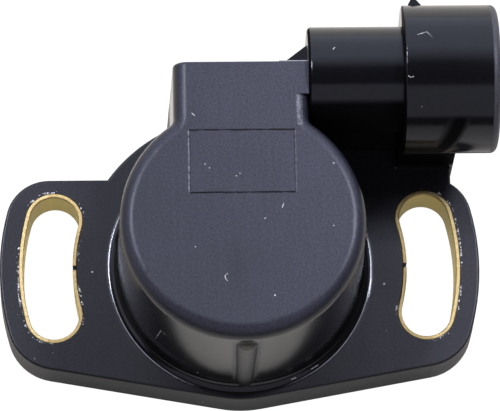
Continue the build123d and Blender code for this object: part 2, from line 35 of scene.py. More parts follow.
# Sizes of the part that the finishes follow, in millimetres and degrees
FACE_Z = 26.5
FACE_EDGE_R = 1.8
PLATE_Z = 5.5
SPIGOT_Z = -2.0
CAP_R = 16.0
TOWER_LEFT_X = -7.0
TOWER_TOP_Y = 19.88
INSERT_W = 12.8
INSERT_H = 8.05
INSERT_Y = 7.1
RIB_X = 0.3
RIB_Y = -14.15
RIB_R = 1.5
RIB_TOP_Z = 23.5
NECK_X = 8.2
NECK_Y = 12.4
SHROUD_X = 19.85
MOUTH_X = 31.4
MOUTH_EDGE_R = 0.8
SLOT_R = 24.0
SLOT_W = 7.2
SLOT_HALF_ANGLE = 14.8
SLIT_W = 0.5

# Painted shade under the connector, with matched zones: where each zone starts and where it is full, in
# millimetres
SHADE_UNDER_Y = (15.0, 14.4)
SHADE_TOP_Z = (27.3, 26.9)
SHADE_LOW_Z = (23.57, 21.77)
SHADE_BOTTOM_Z = (20.17, 19.17)
SHADE_WALL_Z = (11.5, 9.5)
SHADE_FRONT_Z = 24.17
# Its edge on the shroud is a slanting line. The two spans are measured along x, where that line meets z = 0
SHADE_SLOPE = 0.38
SHADE_EDGE = (17.7, 16.9)
SHADE_BAND = (14.5, 15.7)

# Other zones of the moulding and the brass: where each one starts and where it is full, in millimetres
FACE_SKIN_Z = (FACE_Z - 0.02, FACE_Z - 0.005)
FACE_EDGE_Z = (FACE_Z - 0.6 * FACE_EDGE_R, FACE_Z - 0.2)
CLEAR_Z = (PLATE_Z + 0.3, PLATE_Z + 1.5)
HOLLOW_Z = (PLATE_Z + 1.4, PLATE_Z + 0.6)
PLATE_SKIN_Z = (PLATE_Z + 0.02, PLATE_Z - 0.02)
# The painted highlight at the cap's foot fades in outwards along x
FOOT_HIGHLIGHT_X = (5.0, 11.0)
MOUTH_EDGE_X = (MOUTH_X - MOUTH_EDGE_R - 0.15, MOUTH_X - MOUTH_EDGE_R)
BRASS_CUT_Z = (PLATE_Z - 0.1, PLATE_Z - 0.03)

# Narrow zones: the middle and the half width of each, in millimetres
NECK_END_X = (8.25, 0.25)
SHROUD_END_X = (SHROUD_X, 0.06)
FLANGE_TOP_Z = (PLATE_Z, 0.02)
# The painted highlight at the cap's foot
FOOT_HIGHLIGHT_Z = (PLATE_Z + 0.035, 0.014)
TOWER_BURR_Y = (TOWER_TOP_Y, 0.1)
# A painted highlight on the tower's face beside the neck
EDGE_HIGHLIGHT_X = (7.05, 0.35)
EDGE_HIGHLIGHT_Y = (13.5, 1.9)
# A line of painted shade just under the brass's cut edge
BRASS_RIM_SHADE_Z = (PLATE_Z - 0.22, 0.12)
# Black painted shade at the slit
SLIT_Y = (0.0, SLIT_W / 2 + 0.01)

# A wiped smudge on the face: its middle, in millimetres, and how far it is drawn out along x and y
SMUDGE_MIDDLE = (-0.8, -6.5)
SMUDGE_STRETCH = (1.6, 4.5)

# Lint and the plainest specks on the face, the walls and the connector, and two painted glints on the cap's
# foot, listed one by one
LINT_AND_GLINTS = (
    ((-2.0, -7.0, 26.5), (-2.3, -7.3, 26.5), (-2.2, -7.7, 26.5), (-2.0, -7.9, 26.5)),
    ((4.9, 1.7, 26.5), (4.7, 1.2, 26.5)),
    ((-10.6, -10.8, 11.3), (-10.0, -11.3, 16.6), (-8.9, -12.1, 16.3)),
    ((13.8, -6.5, 10.3), (13.3, -7.4, 11.2)),
    ((-14.1, -3.6, 24.6), (-14.4, -4.0, 24.3), (-14.4, -4.5, 24.1)),
    ((21.4, 21.9, 29.8), (22.5, 22.3, 29.7), (23.2, 21.4, 29.9)),
    ((20.1, 16.6, 29.9), (20.4, 16.4, 29.9), (20.7, 16.5, 29.9)),
    ((-6.0, 13.2, 26.5), (-5.7, 12.9, 26.5)),
    ((11.4, 21.2, 27.35), (11.2, 20.9, 27.4)),
    # Painted glints: these two short bright strokes on the cap's foot stand in for light caught there
    ((6.2, -14.7, 5.7), (6.7, -14.5, 5.7)),
    ((8.7, -13.4, 5.7), (9.5, -12.9, 5.7)),
    ((21.7, 13.2, 28.1), (21.75, 13.3, 28.15)),
    ((-4.53, 6.77, 26.5), (-4.49, 6.7, 26.5)),
    ((-4.0, 6.29, 26.5), (-3.96, 6.22, 26.5)),
    ((-0.33, 5.55, 26.5), (-0.28, 5.5, 26.5)),
    ((-0.78, 5.25, 26.5), (-0.74, 5.2, 26.5)),
    ((-5.82, -3.62, 26.5), (-5.75, -3.67, 26.5)),
    ((2.57, -0.17, 26.5), (2.71, -0.09, 26.5)),
)
# Half width of each thread of lint and each painted glint, where it fades out and where it is full, in
# millimetres
LINT_AND_GLINT_EDGE = (0.07, 0.03)

# Where most of a noise's values lie, and how many layers of detail a noise has
NOISE = (0.3, 0.7)
SMOOTH = 1.0
ROUGH = 2.0
CRISP = 3.0

# Light: how far the lamps stand from the part, in metres, and the colour of the box behind it
LAMP_AWAY = 0.6
COOL = (0.86, 0.9, 1.0)


def metres(*sizes):
    """Sizes in millimetres, as metres."""
    return [size * MM for size in sizes]


def linear(code):
    """An sRGB hex colour as linear values."""
    parts = [int(code[i : i + 2], 16) / 255 for i in (1, 3, 5)]
    return (*[p / 12.92 if p <= 0.04045 else ((p + 0.055) / 1.055) ** 2.4 for p in parts], 1.0)


def add(tree, kind, *inputs, named=None, **settings):
    """Adds a node with its settings.

    A value, a node or a socket goes to each open input in turn, or to an input by its name.
    """
    node = tree.nodes.new("ShaderNode" + kind)
    for name, value in settings.items():
        setattr(node, name, value)
    pairs = list(zip([s for s in node.inputs if s.enabled], inputs))
    pairs += [(node.inputs[name], value) for name, value in (named or {}).items()]
    for socket, value in pairs:
        if isinstance(value, bpy.types.Node):
            value = next(s for s in value.outputs if s.enabled)
        if isinstance(value, bpy.types.NodeSocket):
            tree.links.new(value, socket)
        else:
            socket.default_value = value
    return node


def new_material(name, **values):
    """A material with its shader, the shader's plain numbers, and the surface's place."""
    material = bpy.data.materials.new(name)
    material.use_nodes = True
    tree = material.node_tree
    tree.nodes.clear()
    shader = add(tree, "BsdfPrincipled")
    add(tree, "OutputMaterial", shader)
    for socket, value in values.items():
        shader.inputs[socket.replace("_", " ")].default_value = value
    place = add(tree, "TexCoord").outputs["Object"]
    return material, tree, shader, place


def dress(tree, shader, colour, roughness, height, depth, strength=1.0):
    """Links a finish's colour, roughness and relief, which is depth millimetres high."""
    relief = add(tree, "Bump", named={"Height": height, "Distance": depth * MM, "Strength": strength})
    for socket, node in (("Base Color", colour), ("Roughness", roughness), ("Normal", relief)):
        tree.links.new(next(s for s in node.outputs if s.enabled), shader.inputs[socket])


def slot_distance(tree, x, y):
    """Distance from the middle line of the nearer adjusting slot, in metres."""
    side = add(tree, "Math", x, operation="ABSOLUTE")
    angle = add(tree, "Math", y, side, operation="ARCTAN2")
    limit = math.radians(SLOT_HALF_ANGLE)
    angle = add(tree, "Clamp", angle, -limit, limit)
    across = add(tree, "Math", angle, operation="COSINE")
    along = add(tree, "Math", angle, operation="SINE")
    off_x = add(tree, "Math", across, -SLOT_R * MM, side, operation="MULTIPLY_ADD")
    off_y = add(tree, "Math", along, -SLOT_R * MM, y, operation="MULTIPLY_ADD")
    off = add(tree, "CombineXYZ", off_x, off_y)
    return add(tree, "VectorMath", off, operation="LENGTH")


def slot_crumbs(tree, place, x, y):
    """Crumbs of moulding flash, in clusters close outside the liners, more of them on the outer sides."""
    # Sizes in millimetres, then shares
    crumb, cluster, rim, sideways = 0.26, 2.6, 0.3, 3.0
    fewer, more, bare, crowded = -0.08, 0.06, 0.4, 0.58
    largest, dimmest, brightest = 0.75, 0.2, 1.0
    away = slot_distance(tree, x, y)
    near = add(tree, "Math", away, (SLOT_W / 2 + rim) * MM, operation="LESS_THAN")
    side = add(tree, "Math", x, operation="ABSOLUTE")
    outer = add(tree, "MapRange", side, *metres(SLOT_R - sideways, SLOT_R + sideways), fewer, more)
    crowd = add(tree, "TexNoise", place, 1 / (cluster * MM), SMOOTH)
    crowd = add(tree, "Math", crowd, outer, operation="ADD")
    crowd = add(tree, "MapRange", crowd, bare, crowded)
    net = add(tree, "TexVoronoi", place, 1 / (crumb * MM))
    pick = add(tree, "SeparateColor", net.outputs["Color"]).outputs
    reach = add(tree, "Math", pick[0], crowd, operation="MULTIPLY")
    reach = add(tree, "Math", reach, largest, operation="MULTIPLY")
    crumbs = add(tree, "Math", net.outputs["Distance"], reach, operation="LESS_THAN")
    bright = add(tree, "MapRange", pick[1], 0.0, 1.0, dimmest, brightest)
    crumbs = add(tree, "Math", crumbs, bright, operation="MULTIPLY")
    return add(tree, "Math", crumbs, near, operation="MULTIPLY")


def lint_and_glints(tree, place):
    """Share of a surface under the lint and the painted glints, which are faint where they twist."""
    # A size in millimetres, then shares
    twist_length = 0.5
    twisted, flat, faintest = 0.35, 0.6, 0.4
    share = 0.0
    for points in LINT_AND_GLINTS:
        for start, end in zip(points, points[1:]):
            start, end = Vector(start) * MM, Vector(end) * MM
            run = end - start
            off = add(tree, "VectorMath", place, start, operation="SUBTRACT")
            part = add(tree, "VectorMath", off, run / run.length_squared, operation="DOT_PRODUCT")
            part = add(tree, "Clamp", part, 0.0, 1.0)
            nearest = add(tree, "VectorMath", run, part, operation="SCALE")
            away = add(tree, "VectorMath", off, nearest, operation="DISTANCE")
            here = add(tree, "MapRange", away, *metres(*LINT_AND_GLINT_EDGE))
            share = add(tree, "Math", share, here, operation="MAXIMUM")
    twist = add(tree, "TexNoise", place, 1 / (twist_length * MM), SMOOTH)
    twist = add(tree, "MapRange", twist, twisted, flat, faintest, 1.0)
    return add(tree, "Math", share, twist, operation="MULTIPLY")


def dust(tree, place):
    """Share of a surface under stray specks: half the cells of a loose net hold one."""
    # A size in millimetres, then shares
    apart = 2.3
    held, largest = 0.5, 0.065
    net = add(tree, "TexVoronoi", place, 1 / (apart * MM))
    pick = add(tree, "SeparateColor", net.outputs["Color"]).outputs
    here = add(tree, "Math", pick[0], held, operation="GREATER_THAN")
    reach = add(tree, "Math", pick[1], largest, operation="MULTIPLY")
    inside = add(tree, "Math", net.outputs["Distance"], reach, operation="LESS_THAN")
    return add(tree, "Math", here, inside, operation="MULTIPLY")


def insert_ends(tree, place, side, level):
    """Dark, wavering lines along the insert's upper and lower ends, with gaps."""
    # Sizes in millimetres, then shares
    wave_length, wave_height, line_off, line_half = 1.6, 0.3, 0.08, 0.14
    gap, full = 0.36, 0.44
    wander = add(tree, "TexNoise", place, 1 / (wave_length * MM), ROUGH)
    waved = add(tree, "Math", wander, wave_height * MM, level, operation="MULTIPLY_ADD")
    line = add(tree, "Math", waved, *metres(INSERT_H / 2 + line_off, line_half), operation="COMPARE")
    within = add(tree, "Math", side, INSERT_W / 2 * MM, operation="LESS_THAN")
    gaps = add(tree, "MapRange", wander, gap, full)
    line = add(tree, "Math", line, within, operation="MULTIPLY")
    return add(tree, "Math", line, gaps, operation="MULTIPLY")


def insert_side_highlights(tree, place, x, side, level):
    """Painted highlights: pale dotted lines along the insert's sides, fainter on the right."""
    # Sizes in millimetres, then shares
    dot, line_off, line_half, corner = 0.5, 0.04, 0.1, 0.1
    gap, full, left_strength, right_strength = 0.35, 0.65, 0.8, 0.28
    line = add(tree, "Math", side, *metres(INSERT_W / 2 + line_off, line_half), operation="COMPARE")
    within = add(tree, "Math", level, (INSERT_H / 2 - corner) * MM, operation="LESS_THAN")
    dots = add(tree, "TexNoise", place, 1 / (dot * MM), ROUGH)
    dots = add(tree, "MapRange", dots, gap, full)
    fainter = add(tree, "MapRange", x, *metres(-INSERT_W / 2, INSERT_W / 2), left_strength, right_strength)
    dots = add(tree, "Math", dots, fainter, operation="MULTIPLY")
    line = add(tree, "Math", line, within, operation="MULTIPLY")
    return add(tree, "Math", line, dots, operation="MULTIPLY")


def rib_zones(tree, x, y, z, clear):
    """Shares of the rib on the cap's wall, and of its top."""
    # Sizes in millimetres
    fade_out, fade_up, top_height = 0.6, 1.0, 0.6
    off = add(tree, "CombineXYZ", x, y)
    rib = add(tree, "VectorMath", off, (RIB_X * MM, RIB_Y * MM, 0.0), operation="DISTANCE")
    rib = add(tree, "MapRange", rib, *metres(RIB_R + fade_out, RIB_R))
    low = add(tree, "MapRange", z, *metres(RIB_TOP_Z + fade_up, RIB_TOP_Z))
    rib = add(tree, "Math", rib, low, operation="MULTIPLY")
    rib = add(tree, "Math", rib, clear, operation="MULTIPLY")
    top = add(tree, "MapRange", z, *metres(RIB_TOP_Z - top_height, RIB_TOP_Z))
    top = add(tree, "Math", top, rib, operation="MULTIPLY")
    return rib, top


def shroud_shade(tree, x, z, under):
    """Painted shade on the shroud's underside: a patch with a slanting edge, and the deeper shade in and
    below it.
    """
    slant = add(tree, "Math", z, -SHADE_SLOPE, x, operation="MULTIPLY_ADD")
    patch = add(tree, "MapRange", slant, *metres(*SHADE_EDGE))
    patch = add(tree, "Math", patch, under, operation="MULTIPLY")
    upper = add(tree, "MapRange", z, *metres(*SHADE_TOP_Z))
    patch = add(tree, "Math", patch, upper, operation="MULTIPLY")
    band = add(tree, "MapRange", slant, *metres(*SHADE_BAND))
    low = add(tree, "MapRange", z, *metres(*SHADE_LOW_Z))
    thick = add(tree, "Math", band, low, operation="MAXIMUM")
    thick = add(tree, "Math", thick, patch, operation="MULTIPLY")
    bottom = add(tree, "MapRange", z, *metres(*SHADE_BOTTOM_Z))
    bottom = add(tree, "Math", bottom, under, operation="MULTIPLY")
    thick = add(tree, "Math", thick, bottom, operation="MAXIMUM")
    return patch, thick


def connector_ends(tree, x, z, connector):
    """Share of the neck's and the shroud's back ends, on their front sides, which get painted shade."""
    neck_end = add(tree, "Math", x, *metres(*NECK_END_X), operation="COMPARE")
    shroud_end = add(tree, "Math", x, *metres(*SHROUD_END_X), operation="COMPARE")
    ends = add(tree, "Math", neck_end, shroud_end, operation="MAXIMUM")
    ends = add(tree, "Math", ends, connector, operation="MULTIPLY")
    front = add(tree, "Math", z, SHADE_FRONT_Z * MM, operation="GREATER_THAN")
    return add(tree, "Math", ends, front, operation="MULTIPLY")


def tower_foot(tree, x, z, beyond, clear):
    """Share of the lower part of the tower's left wall, which gets painted shade."""
    left = add(tree, "Math", x, TOWER_LEFT_X * MM, operation="LESS_THAN")
    wall = add(tree, "Math", left, beyond, operation="MULTIPLY")
    wall = add(tree, "Math", wall, clear, operation="MULTIPLY")
    low = add(tree, "MapRange", z, *metres(*SHADE_WALL_Z))
    return add(tree, "Math", wall, low, operation="MULTIPLY")


def nylon_zones(tree, x, y, z):
    """Shares of the moulding's zones, which differ in finish, by name."""
    beside = add(tree, "Math", x, NECK_X * MM, operation="GREATER_THAN")
    beyond = add(tree, "Math", y, NECK_Y * MM, operation="GREATER_THAN")
    neck = add(tree, "Math", beside, beyond, operation="MULTIPLY")
    shroud = add(tree, "Math", x, CAP_R * MM, operation="GREATER_THAN")
    connector = add(tree, "Math", neck, shroud, operation="MAXIMUM")
    body = add(tree, "Math", 1.0, connector, operation="SUBTRACT")
    # Clear of the flange, and of the hollow at the cap's foot
    clear = add(tree, "MapRange", z, *metres(*CLEAR_Z))

    # The face is matt, and so is the upper part of its rolled edge
    matt = add(tree, "MapRange", z, *metres(*FACE_EDGE_Z))
    matt = add(tree, "Math", matt, body, operation="MULTIPLY")
    face = add(tree, "MapRange", z, *metres(*FACE_SKIN_Z))
    face = add(tree, "Math", face, body, operation="MULTIPLY")
    flange = add(tree, "Math", z, *metres(*FLANGE_TOP_Z), operation="COMPARE")
    rim = add(tree, "MapRange", z, *metres(*PLATE_SKIN_Z))
    mouth = add(tree, "MapRange", x, *metres(*MOUTH_EDGE_X))
    rib, rib_top = rib_zones(tree, x, y, z, clear)
    rough_cut = add(tree, "Math", mouth, rib_top, operation="MAXIMUM")
    coarse = add(tree, "Math", matt, rim, operation="MAXIMUM")
    coarse = add(tree, "Math", coarse, rough_cut, operation="MAXIMUM")

    # Painted shade lies under the connector, on its back ends and at the tower's foot
    under = add(tree, "MapRange", y, *metres(*SHADE_UNDER_Y))
    under = add(tree, "Math", under, connector, operation="MULTIPLY")
    under = add(tree, "Math", under, clear, operation="MULTIPLY")
    before = add(tree, "Math", x, SHROUD_X * MM, operation="LESS_THAN")
    painted_shade = add(tree, "Math", under, before, operation="MULTIPLY")
    patch, thick = shroud_shade(tree, x, z, under)
    for more in (connector_ends(tree, x, z, connector), tower_foot(tree, x, z, beyond, clear), thick):
        painted_shade = add(tree, "Math", painted_shade, more, operation="MAXIMUM")
    return {
        "connector": connector,
        "body": body,
        "matt": matt,
        "face": face,
        "flange": flange,
        "rim": rim,
        "rib": rib,
        "rib_top": rib_top,
        "rough_cut": rough_cut,
        "coarse": coarse,
        "patch": patch,
        "painted_shade": painted_shade,
    }


def smudge_tone(tree, place, streak):
    """Tone of a smudge on the face, darker along the streaks of the wiping."""
    # Sizes in millimetres, before the stretch, then a share
    outside, inside = 1.1, 0.2
    darkest = 0.8
    shift = [-middle / stretch * MM for middle, stretch in zip(SMUDGE_MIDDLE, SMUDGE_STRETCH)]
    scale = [1 / stretch for stretch in SMUDGE_STRETCH]
    off = add(tree, "Mapping", named={"Vector": place, "Location": (*shift, 0.0), "Scale": (*scale, 0.0)})
    away = add(tree, "VectorMath", off, operation="LENGTH")
    smudge = add(tree, "MapRange", away, *metres(outside, inside))
    smudge = add(tree, "Math", smudge, streak, operation="MULTIPLY")
    return add(tree, "MapRange", smudge, 0.0, 1.0, 1.0, darkest)


def nylon_tone(tree, place, x, y, grain, cloud):
    """Tone of the moulding: its grain, wiped streaks and clouds, darker to the left and towards the rib."""
    # A size in millimetres, then shares
    streak_width = 0.5
    streak_stretch, dark_streak, light_streak = 16, 0.93, 1.07
    wiped = add(tree, "Mapping", named={"Vector": place, "Scale": (1.0, 1 / streak_stretch, 1.0)})
    streak = add(tree, "TexNoise", wiped, 1 / (streak_width * MM), ROUGH)
    streak = add(tree, "MapRange", streak, *NOISE, dark_streak, light_streak)
    tone = add(tree, "Math", smudge_tone(tree, place, streak), streak, operation="MULTIPLY")
    cap = metres(-CAP_R, CAP_R)
    for source, span, darkest, lightest in (
        (grain, NOISE, 0.64, 1.36),
        (x, cap, 0.79, 1.15),
        (cloud, NOISE, 0.92, 1.08),
        (y, cap, 0.8, 1.02),
    ):
        step = add(tree, "MapRange", source, *span, darkest, lightest)
        tone = add(tree, "Math", tone, step, operation="MULTIPLY")
    return tone


def nylon_colour(tree, zones, tone):
    """Black walls, a greyer flange and face, and grey cut ends, all in the moulding's tone."""
    colour = add(tree, "Mix", zones["rim"], linear("#060608"), linear("#0C0C0E"), data_type="RGBA")
    for zone, code in (("flange", "#1F1F25"), ("matt", "#2C2C39"), ("rough_cut", "#33333A")):
        colour = add(tree, "Mix", zones[zone], colour, linear(code), data_type="RGBA")
    return add(tree, "Mix", 1.0, colour, tone, data_type="RGBA", blend_type="MULTIPLY")


def nylon_marks(tree, place, x, y, z, zones, grain, colour):
    """The colour with the insert's lines, painted highlights and glints, the burr and the dirt laid over
    it, one after the other.
    """
    whole, uneven = 0.35, 0.65
    side = add(tree, "Math", x, operation="ABSOLUTE")
    level = add(tree, "Math", y, INSERT_Y * MM, operation="SUBTRACT")
    level = add(tree, "Math", level, operation="ABSOLUTE")
    dark = insert_ends(tree, place, side, level)
    # Painted highlights along the insert's sides
    pale = insert_side_highlights(tree, place, x, side, level)
    burr = add(tree, "Math", y, *metres(*TOWER_BURR_Y), operation="COMPARE")
    # Painted highlight: a pale, broken strip on the tower's face beside the neck
    edge_highlight_x = add(tree, "Math", x, *metres(*EDGE_HIGHLIGHT_X), operation="COMPARE")
    edge_highlight_y = add(tree, "Math", y, *metres(*EDGE_HIGHLIGHT_Y), operation="COMPARE")
    edge_highlight = add(tree, "Math", edge_highlight_x, edge_highlight_y, operation="MULTIPLY")
    broken = add(tree, "MapRange", grain, whole, uneven)
    edge_highlight = add(tree, "Math", edge_highlight, broken, operation="MULTIPLY")
    # Painted highlight: a pale line where the cap's foot meets the flange, which fades out in front
    foot_highlight = add(tree, "Math", z, *metres(*FOOT_HIGHLIGHT_Z), operation="COMPARE")
    outward = add(tree, "MapRange", side, *metres(*FOOT_HIGHLIGHT_X))
    outward = add(tree, "Math", outward, zones["body"], operation="MULTIPLY")
    for mark, where, code, strength in (
        (dark, zones["matt"], "#07070A", 0.95),
        (pale, zones["matt"], "#A5A5B2", 0.6),
        (burr, zones["face"], "#A0A0A8", 0.7),
        (edge_highlight, zones["matt"], "#8A8A94", 0.32),
        (foot_highlight, outward, "#9A9AAA", 0.6),
        (zones["rib_top"], 1.0, "#6A6864", 0.8),
        (slot_crumbs(tree, place, x, y), zones["flange"], "#D6D6DE", 0.9),
        (dust(tree, place), 1.0, "#C4C4CC", 0.65),
        (lint_and_glints(tree, place), 1.0, "#C9C9CE", 0.7),
    ):
        share = add(tree, "Math", mark, where, operation="MULTIPLY")
        share = add(tree, "Math", share, strength, operation="MULTIPLY")
        colour = add(tree, "Mix", share, colour, linear(code), data_type="RGBA")
    return colour


def nylon_gloss(tree, z, zones, cloud):
    """Roughness of the moulding: polished walls, a duller face and flange, and duller still where shade is
    painted under the connector.
    """
    cloudiness = 0.06
    wall, hollow, connector = 0.15, 0.1, 0.13
    foot = add(tree, "MapRange", z, *metres(*HOLLOW_Z), wall, hollow)
    gloss = add(tree, "Mix", zones["connector"], foot, connector, data_type="FLOAT")
    for zone, level in (("rib", 0.34), ("coarse", 0.42), ("matt", 0.34), ("painted_shade", 0.55), ("face", 0.5)):
        gloss = add(tree, "Mix", zones[zone], gloss, level, data_type="FLOAT")
    return add(tree, "Math", cloud, cloudiness, gloss, operation="MULTIPLY_ADD")


def nylon_shine(tree, x, zones):
    """Strength of the moulding's mirror image: the grain breaks it up, and painted shade dims it and nearly
    puts it out under the connector.
    """
    wall, left, right, thin_shade, thick_shade = 0.42, 0.3, 0.36, 0.3, 0.02
    grainy = add(tree, "MapRange", x, *metres(-CAP_R, CAP_R), left, right)
    shine = add(tree, "Mix", zones["coarse"], wall, grainy, data_type="FLOAT")
    shine = add(tree, "Mix", zones["patch"], shine, thin_shade, data_type="FLOAT")
    return add(tree, "Mix", zones["painted_shade"], shine, thick_shade, data_type="FLOAT")


def moulded_nylon():
    """Glass-filled nylon, moulded black.

    The walls come off polished steel and mirror the lights. The cap's face and the flange come off
    spark-eroded steel and look greyer, with a fine grain, drawn coarser than real so that it shows.
    Painted shade dulls the connector's underside and darkens its mirror image. Crumbs of flash, dust and
    lint lie on the moulding, with painted highlights and glints on some edges.
    """
    # Sizes in millimetres, then the share of the grain that the polished walls have
    grain_size, cloud_size, grain_depth = 0.26, 9.0, 0.02
    wall_share = 0.06
    material, tree, shader, place = new_material("moulded_nylon", IOR=1.5, Specular_Tint=linear("#E7EAFF"))
    x, y, z = add(tree, "SeparateXYZ", place).outputs
    zones = nylon_zones(tree, x, y, z)
    grain = add(tree, "TexNoise", place, 1 / (grain_size * MM), CRISP)
    cloud = add(tree, "TexNoise", place, 1 / (cloud_size * MM), ROUGH)
    colour = nylon_colour(tree, zones, nylon_tone(tree, place, x, y, grain, cloud))
    colour = nylon_marks(tree, place, x, y, z, zones, grain, colour)
    height = add(tree, "Mix", zones["coarse"], wall_share, 1.0, data_type="FLOAT")
    height = add(tree, "Math", grain, height, operation="MULTIPLY")
    dress(tree, shader, colour, nylon_gloss(tree, z, zones, cloud), height, grain_depth)
    shine = nylon_shine(tree, x, zones)
    tree.links.new(shine.outputs[0], shader.inputs["Specular IOR Level"])
    return material


def brass_colour(tree, y, z, inward, cut, stain, burr):
    """Olive inside, gold at the cut edge but tan on the shaft's side, with a line of painted shade under
    the edge and black painted shade at the slit.
    """
    clean, stained, faintest, strongest = 0.3, 0.6, 0.5, 0.95
    colour = add(tree, "Mix", stain, linear("#CEBA6B"), linear("#EEDC90"), data_type="RGBA")
    # Painted shade: a dark brown line just under the cut edge, stronger where the stain is
    bare = add(tree, "Math", z, *metres(*BRASS_RIM_SHADE_Z), operation="COMPARE")
    uneven = add(tree, "MapRange", stain, clean, stained, faintest, strongest)
    bare = add(tree, "Math", bare, uneven, operation="MULTIPLY")
    colour = add(tree, "Mix", bare, colour, linear("#5A3A18"), data_type="RGBA")
    gold = add(tree, "Mix", burr, linear("#9C8453"), linear("#D3C39A"), data_type="RGBA")
    tan = add(tree, "Mix", burr, linear("#8E784E"), linear("#C7B58A"), data_type="RGBA")
    edge = add(tree, "Mix", inward, gold, tan, data_type="RGBA")
    colour = add(tree, "Mix", cut, colour, edge, data_type="RGBA")
    # Painted shade: the strip's two ends, which face each other across the slit, are painted black
    slit = add(tree, "Math", y, *metres(*SLIT_Y), operation="COMPARE")
    slit = add(tree, "Math", slit, inward, operation="MULTIPLY")
    return add(tree, "Mix", slit, colour, linear("#15141A"), data_type="RGBA")


def rolled_brass():
    """Brass strip, rolled and sheared: olive and half bright inside, golden and burred at its cut edges."""
    # Sizes in millimetres, then shares
    line_width, stain_size, burr_size, depth = 0.12, 2.2, 0.3, 0.05
    line_stretch, brightest, dullest, edge_gloss, strength = 12, 0.3, 0.46, 0.6, 0.6
    material, tree, shader, place = new_material("rolled_brass", Metallic=1.0)
    x, y, z = add(tree, "SeparateXYZ", place).outputs
    cut = add(tree, "MapRange", z, *metres(*BRASS_CUT_Z))
    side = add(tree, "Math", x, operation="ABSOLUTE")
    inward = add(tree, "Math", side, SLOT_R * MM, operation="LESS_THAN")
    scale = (1 / line_stretch, 1 / line_stretch, 1.0)
    along = add(tree, "Mapping", named={"Vector": place, "Scale": scale})
    drawn = add(tree, "TexNoise", along, 1 / (line_width * MM), CRISP)
    stain = add(tree, "TexNoise", place, 1 / (stain_size * MM), CRISP)
    burr = add(tree, "TexNoise", place, 1 / (burr_size * MM), CRISP)
    colour = brass_colour(tree, y, z, inward, cut, stain, burr)
    gloss = add(tree, "MapRange", stain, *NOISE, brightest, dullest)
    gloss = add(tree, "Mix", cut, gloss, edge_gloss, data_type="FLOAT")
    height = add(tree, "Mix", cut, drawn, burr, data_type="FLOAT")
    dress(tree, shader, colour, gloss, height, depth, strength)
    return material


def finish(name, light, dark, grain, rough, relief=0.01, stretch=1.0, **values):
    """A finish that wavers between two tones and two roughnesses, with a grain and a relief in millimetres.

    The grain is drawn out along x by stretch.
    """
    cloud_grains, cloud_share = 12, 0.4
    material, tree, shader, place = new_material(name, **values)
    drawn = add(tree, "Mapping", named={"Vector": place, "Scale": (1 / stretch, 1.0, 1.0)})
    fine = add(tree, "TexNoise", drawn, 1 / (grain * MM), CRISP)
    broad = add(tree, "TexNoise", drawn, 1 / (cloud_grains * grain * MM), ROUGH)
    share = add(tree, "Mix", cloud_share, fine, broad, data_type="FLOAT")
    share = add(tree, "MapRange", share, *NOISE)
    colour = add(tree, "Mix", share, linear(dark), linear(light), data_type="RGBA")
    gloss = add(tree, "MapRange", broad, *NOISE, *rough)
    dress(tree, shader, colour, gloss, fine, relief)
    return material


def tinned_brass():
    """Tin plate over stamped brass: soft grey shine, drawn along the lead."""
    return finish(
        "tinned_brass", "#D5D3CB", "#B5B2A8",
        grain=0.1, rough=(0.26, 0.38), relief=0.004, stretch=10.0, Metallic=1.0,
    )


def paper_laminate():
    """Paper laminate: brown, with short fibres in the resin."""
    return finish("paper_laminate", "#9A7743", "#74562C", grain=0.2, rough=(0.45, 0.6), stretch=6.0)


def printed_carbon():
    """Printed carbon: dull black with a fine sandy tooth."""
    return finish("printed_carbon", "#232324", "#141415", grain=0.08, rough=(0.5, 0.62))


def printed_silver():
    """Printed silver ink: pale, grainy metal."""
    return finish("printed_silver", "#D0CEC6", "#AAA8A0", grain=0.08, rough=(0.4, 0.55), Metallic=1.0)


def soft_solder():
    """Solder: smooth and bright, a little clouded."""
    return finish("soft_solder", "#C8C8CA", "#A2A2A6", grain=0.4, rough=(0.2, 0.36), Metallic=1.0)


def matt_polyester():
    """Filled polyester, moulded matt: dark grey with a spark-eroded grain."""
    return finish("matt_polyester", "#232327", "#17171A", grain=0.18, rough=(0.42, 0.56), relief=0.015)


def moulded_acetal():
    """Acetal, moulded: dark and waxy."""
    return finish("moulded_acetal", "#34342F", "#2A2A27", grain=0.4, rough=(0.34, 0.46))


def sintered_bronze():
    """Sintered bronze: dull brown metal full of fine pores."""
    return finish(
        "sintered_bronze", "#B08A58", "#7C5C36",
        grain=0.12, rough=(0.42, 0.6), relief=0.02, Metallic=1.0,
    )


def phosphor_bronze():
    """Phosphor bronze sheet: warm and springy, with a fine rolled grain."""
    return finish(
        "phosphor_bronze", "#D2A566", "#B4864A",
        grain=0.1, rough=(0.26, 0.4), relief=0.004, Metallic=1.0,
    )


def spring_steel():
    """Spring steel: bright, with a fine grain."""
    return finish(
        "spring_steel", "#C2C2C4", "#98989B",
        grain=0.15, rough=(0.22, 0.34), relief=0.004, Metallic=1.0,
    )


def nitrile_rubber():
    """Nitrile rubber, moulded: deep black and dull, with a slight bloom."""
    return finish("nitrile_rubber", "#1E1E1F", "#121213", grain=0.3, rough=(0.62, 0.8))


